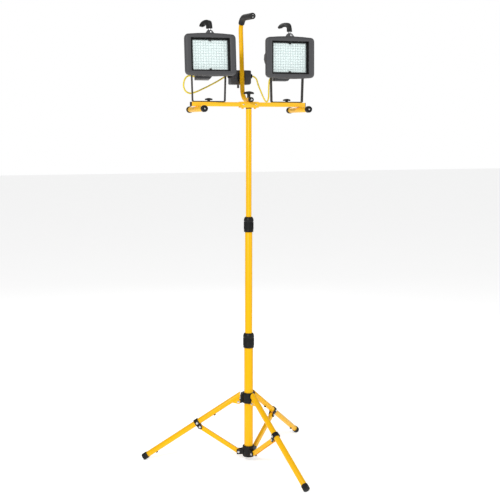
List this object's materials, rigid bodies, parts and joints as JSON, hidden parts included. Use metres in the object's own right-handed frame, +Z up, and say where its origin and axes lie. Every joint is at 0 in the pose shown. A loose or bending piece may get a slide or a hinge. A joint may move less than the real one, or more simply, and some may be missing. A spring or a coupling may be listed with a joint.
{
  "type": "twin head work light on tripod",
  "caption": "Twin-head LED work light: lamps on swivel brackets and a crossbar with carrying handle, on a telescopic mast with a folding tripod.",
  "frame": {"origin": "middle of the footprint on the ground", "axes": "+Z up, lamps face -Y, crossbar along X"},
  "size_m": [0.6724, 0.6476, 1.6035],
  "materials": {
    "bar_yellow": "gloss powder coat",
    "black_plastic": "moulded",
    "black_strap": "satin",
    "glass": "clear toughened",
    "grey_casting": "fine texture coat",
    "lead_yellow": "smooth sheath",
    "led_white": "white board with yellow-white emitters",
    "rubber": "matt",
    "steel": "plated",
    "yellow": "gloss powder coat"
  },
  "bodies": {
    "stand": {"outer_tube": "yellow", "strut_hub": "black_plastic"},
    "hub": {"leg_hub": "black_plastic"},
    "hub_knob": {"hub_lock_knob": "black_plastic"},
    "lower_lock": {"lower_lock_ring": "black_plastic"},
    "mast_middle": {"middle_tube": "yellow"},
    "upper_lock": {"upper_lock_ring": "black_plastic"},
    "head": {"top_tube": "yellow", "head_saddle": "bar_yellow", "crossbar": "bar_yellow", "cross_tube_l": "bar_yellow", "cross_tube_r": "bar_yellow", "cross_cap_front_l": "black_plastic", "cross_cap_back_l": "black_plastic", "cross_cap_front_r": "black_plastic", "cross_cap_back_r": "black_plastic", "handle_tube": "yellow", "handle_grip": "rubber", "handle_end_cap": "black_plastic", "junction_box": "grey_casting", "box_clip": "black_plastic", "gland_l": "black_plastic", "gland_r": "black_plastic", "lead_l": "lead_yellow", "lead_r": "lead_yellow"},
    "clamp": {"clamp_knob": "black_plastic"},
    "leg_a": {"leg_tube_a": "yellow", "leg_foot_a": "rubber", "leg_clip_a": "black_plastic"},
    "brace_a": {"strut_a": "yellow"},
    "leg_b": {"leg_tube_b": "yellow", "leg_foot_b": "rubber", "leg_clip_b": "black_plastic"},
    "brace_b": {"strut_b": "yellow"},
    "leg_c": {"leg_tube_c": "yellow", "leg_foot_c": "rubber", "leg_clip_c": "black_plastic"},
    "brace_c": {"strut_c": "yellow"},
    "yoke_l": {"bracket_l": "black_strap"},
    "yoke_knob_l": {"wing_knob_l": "black_plastic"},
    "lamp_l": {"bezel_l": "grey_casting", "glass_l": "glass", "led_board_l": "led_white", "housing_l": "grey_casting", "terminal_box_l": "grey_casting", "hook_neck_l": "steel", "lamp_gland_l": "black_plastic"},
    "lamp_hook_l": {"hook_l": "black_plastic"},
    "lamp_knob_l": {"tilt_knob_l": "black_plastic"},
    "yoke_r": {"bracket_r": "black_strap"},
    "yoke_knob_r": {"wing_knob_r": "black_plastic"},
    "lamp_r": {"bezel_r": "grey_casting", "glass_r": "glass", "led_board_r": "led_white", "housing_r": "grey_casting", "terminal_box_r": "grey_casting", "hook_neck_r": "steel", "lamp_gland_r": "black_plastic"},
    "lamp_hook_r": {"hook_r": "black_plastic"},
    "lamp_knob_r": {"tilt_knob_r": "black_plastic"}
  },
  "joints": [
    {"name": "hub_slide", "type": "slide", "parent": "stand", "child": "hub", "axis": [0, 0, 1], "range_m": [0, 0.15098]},
    {"name": "hub_knob_turn", "type": "hinge", "parent": "hub", "child": "hub_knob", "pos_m": [0.03548, 0.06195, 0.23498], "axis": [-0.1882, 0.9821, 0], "continuous": true},
    {"name": "leg_fold_a", "type": "hinge", "parent": "hub", "child": "leg_a", "pos_m": [0.00053, 0.07408, 0.21798], "axis": [-0.328, -0.9447, 0], "range_deg": [0, 56.6]},
    {"name": "brace_fold_a", "type": "hinge", "parent": "leg_a", "child": "brace_a", "pos_m": [-0.13219, 0.12017, 0.12499], "axis": [0.328, 0.9447, 0], "range_deg": [0, 113.2]},
    {"name": "leg_fold_b", "type": "hinge", "parent": "hub", "child": "leg_b", "pos_m": [0.04244, 0.02561, 0.21798], "axis": [0.9821, 0.1882, 0], "range_deg": [0, 56.6]},
    {"name": "brace_fold_b", "type": "hinge", "parent": "leg_b", "child": "brace_b", "pos_m": [0.06889, -0.11237, 0.12499], "axis": [-0.9821, -0.1882, 0], "range_deg": [0, 113.2]},
    {"name": "leg_fold_c", "type": "hinge", "parent": "hub", "child": "leg_c", "pos_m": [0.06347, 0.08615, 0.21798], "axis": [-0.6541, 0.7564, 0], "range_deg": [0, 56.6]},
    {"name": "brace_fold_c", "type": "hinge", "parent": "leg_c", "child": "brace_c", "pos_m": [0.16974, 0.17804, 0.12499], "axis": [0.6541, -0.7564, 0], "range_deg": [0, 113.2]},
    {"name": "middle_slide", "type": "slide", "parent": "stand", "child": "mast_middle", "axis": [0, 0, 1], "range_m": [-0.35, 0]},
    {"name": "top_slide", "type": "slide", "parent": "mast_middle", "child": "head", "axis": [0, 0, 1], "range_m": [-0.35, 0]},
    {"name": "lower_lock_twist", "type": "hinge", "parent": "stand", "child": "lower_lock", "pos_m": [0.03548, 0.06195, 0.446], "axis": [0, 0, 1], "range_deg": [0, 90]},
    {"name": "upper_lock_twist", "type": "hinge", "parent": "mast_middle", "child": "upper_lock", "pos_m": [0.03548, 0.06195, 0.866], "axis": [0, 0, 1], "range_deg": [0, 90]},
    {"name": "clamp_turn", "type": "hinge", "parent": "head", "child": "clamp", "pos_m": [0.03548, 0.06195, 1.326], "axis": [0, 0, 1], "continuous": true},
    {"name": "lamp_pan_l", "type": "hinge", "parent": "head", "child": "yoke_l", "pos_m": [-0.11152, 0.06195, 1.297], "axis": [0, 0, 1], "range_deg": [-84, 96], "deforming": ["lead_l"]},
    {"name": "lamp_tilt_l", "type": "hinge", "parent": "yoke_l", "child": "lamp_l", "pos_m": [-0.11152, 0.06195, 1.4505], "axis": [-0.9945, 0.1045, 0], "range_deg": [-15.1, 82.9], "deforming": ["lead_l"]},
    {"name": "yoke_knob_turn_l", "type": "hinge", "parent": "head", "child": "yoke_knob_l", "pos_m": [-0.11152, 0.06195, 1.306], "axis": [0, 0, 1], "continuous": true},
    {"name": "lamp_knob_turn_l", "type": "hinge", "parent": "yoke_l", "child": "lamp_knob_l", "pos_m": [-0.18114, 0.06926, 1.4505], "axis": [-0.9945, 0.1045, 0], "continuous": true},
    {"name": "hook_swivel_l", "type": "hinge", "parent": "lamp_l", "child": "lamp_hook_l", "pos_m": [-0.11468, 0.04147, 1.54327], "axis": [0.0129, 0.1229, 0.9923], "continuous": true},
    {"name": "lamp_pan_r", "type": "hinge", "parent": "head", "child": "yoke_r", "pos_m": [0.17848, 0.06195, 1.297], "axis": [0, 0, 1], "range_deg": [-87, 93], "deforming": ["lead_r"]},
    {"name": "lamp_tilt_r", "type": "hinge", "parent": "yoke_r", "child": "lamp_r", "pos_m": [0.17848, 0.06195, 1.4505], "axis": [-0.9986, 0.0523, 0], "range_deg": [-9.2, 88.8], "deforming": ["lead_r"]},
    {"name": "yoke_knob_turn_r", "type": "hinge", "parent": "head", "child": "yoke_knob_r", "pos_m": [0.17848, 0.06195, 1.306], "axis": [0, 0, 1], "continuous": true},
    {"name": "lamp_knob_turn_r", "type": "hinge", "parent": "yoke_r", "child": "lamp_knob_r", "pos_m": [0.10857, 0.06561, 1.4505], "axis": [-0.9986, 0.0523, 0], "continuous": true},
    {"name": "hook_swivel_r", "type": "hinge", "parent": "lamp_r", "child": "lamp_hook_r", "pos_m": [0.1759, 0.03192, 1.54065], "axis": [0.0011, 0.0209, 0.9998], "continuous": true}
  ],
  "couplings": [
    {"joint": "leg_fold_a", "follows": "hub_slide", "rad_per_m": 6.5315},
    {"joint": "brace_fold_a", "follows": "hub_slide", "rad_per_m": 13.063},
    {"joint": "leg_fold_b", "follows": "hub_slide", "rad_per_m": 6.5315},
    {"joint": "brace_fold_b", "follows": "hub_slide", "rad_per_m": 13.063},
    {"joint": "leg_fold_c", "follows": "hub_slide", "rad_per_m": 6.5315},
    {"joint": "brace_fold_c", "follows": "hub_slide", "rad_per_m": 13.063}
  ]
}
